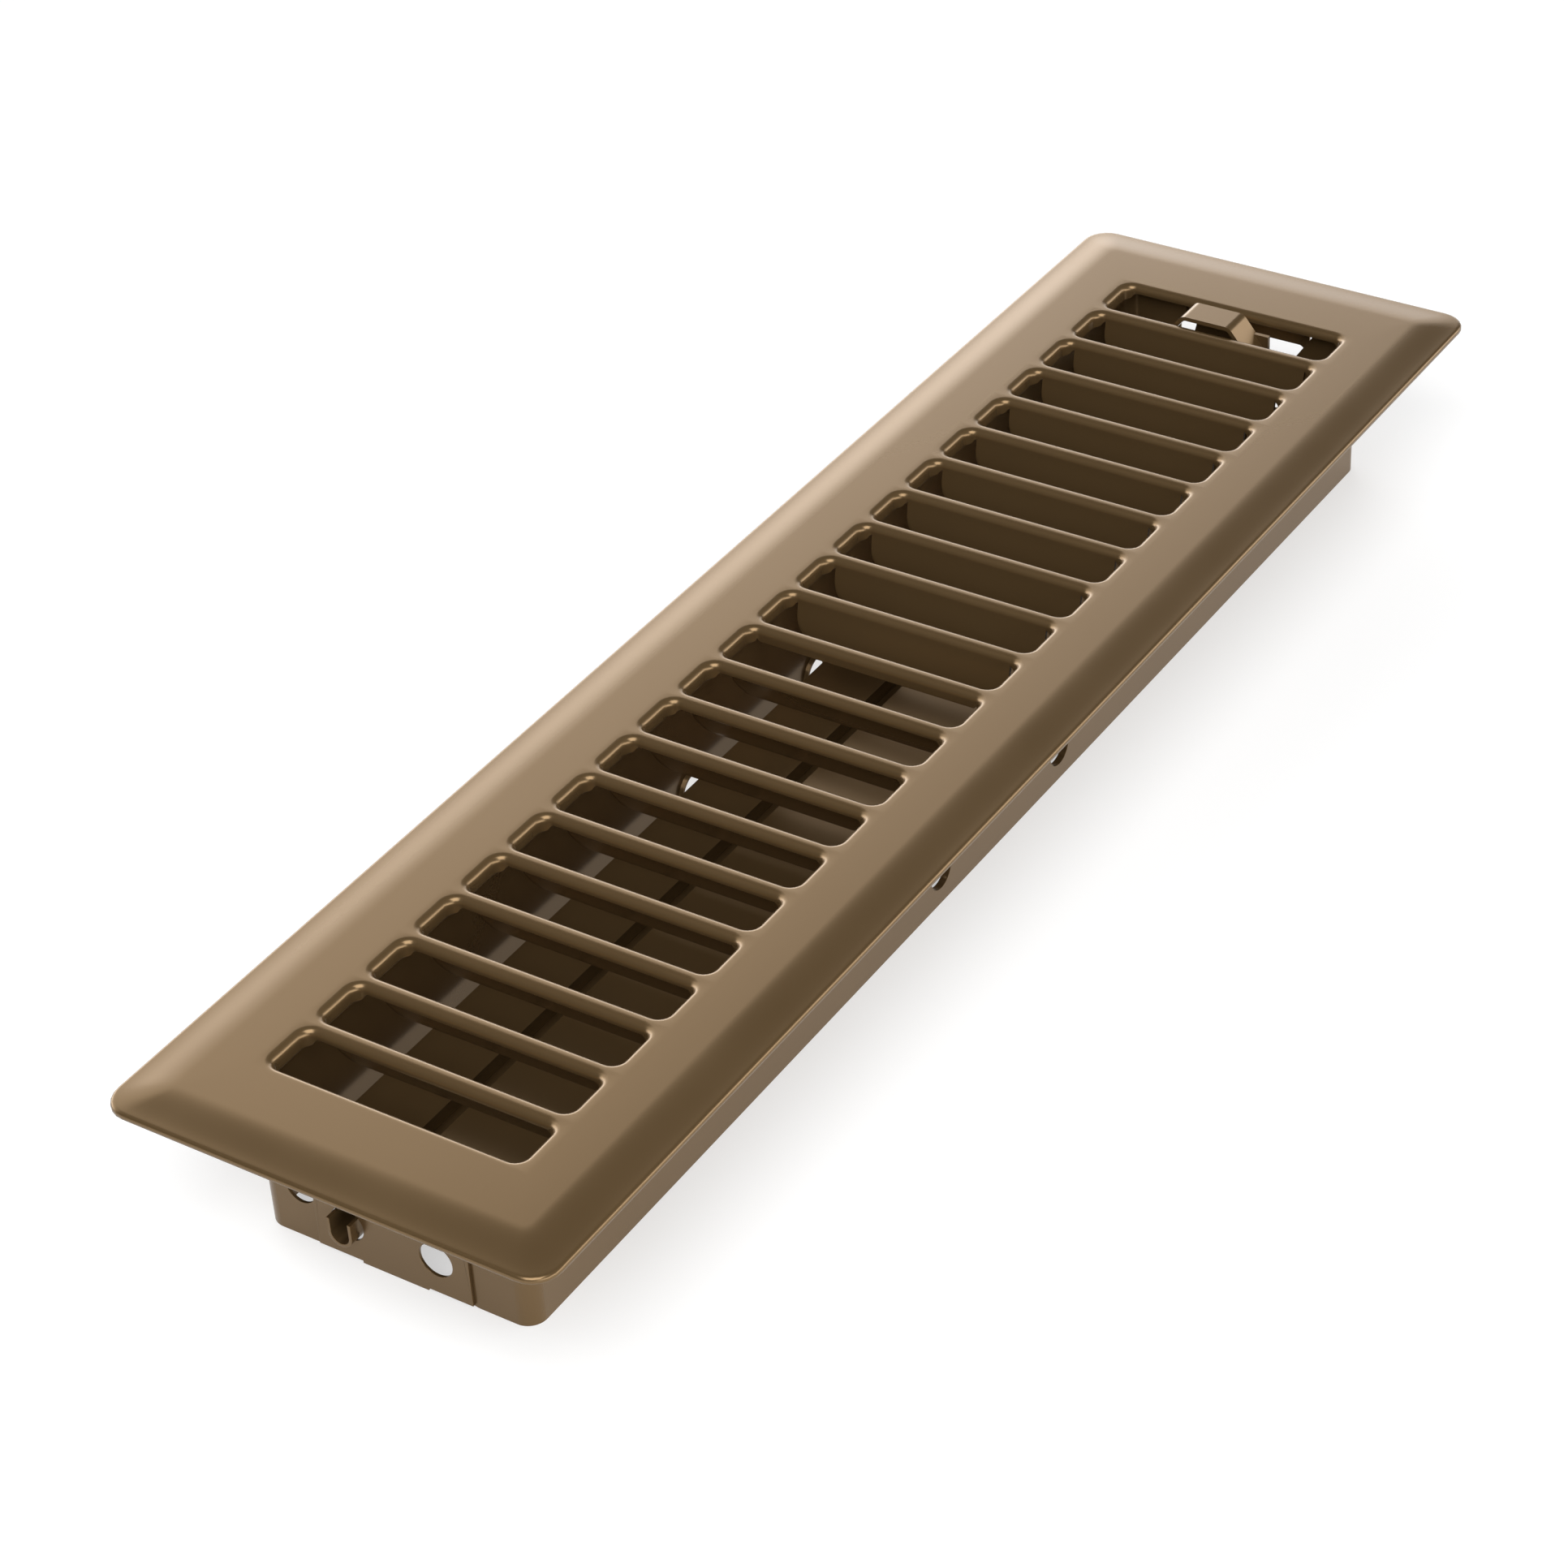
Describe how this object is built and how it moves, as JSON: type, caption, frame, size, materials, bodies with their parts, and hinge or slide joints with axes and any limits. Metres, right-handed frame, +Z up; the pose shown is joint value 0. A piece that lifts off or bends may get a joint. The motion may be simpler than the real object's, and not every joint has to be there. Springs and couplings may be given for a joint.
{
  "type": "floor register",
  "caption": "Painted steel floor register: louvred faceplate over a shallow sheet box with a lever-worked damper blade.",
  "frame": {"origin": "middle of the underside of the box, the lowest plane of the register at rest; the finished floor that the rim sits on is the plane z = +29.8 mm", "axes": "+X along the register towards the end with the lever, +Y across it towards the damper's pivot side, +Z up out of the floor"},
  "size_m": [0.3356, 0.0882, 0.0336],
  "materials": {
    "painted_steel": "satin"
  },
  "bodies": {
    "register_box": {"faceplate": "painted_steel", "left_wall": "painted_steel", "right_wall": "painted_steel", "lever_end_plate": "painted_steel", "plain_end_plate": "painted_steel"},
    "damper": {"damper_blade": "painted_steel", "damper_lever": "painted_steel"}
  },
  "joints": [
    {"name": "damper_turn", "type": "hinge", "parent": "register_box", "child": "damper", "pos_m": [0, 0.009, 0.00756], "axis": [1, 0, 0], "range_deg": [0, 45]}
  ]
}
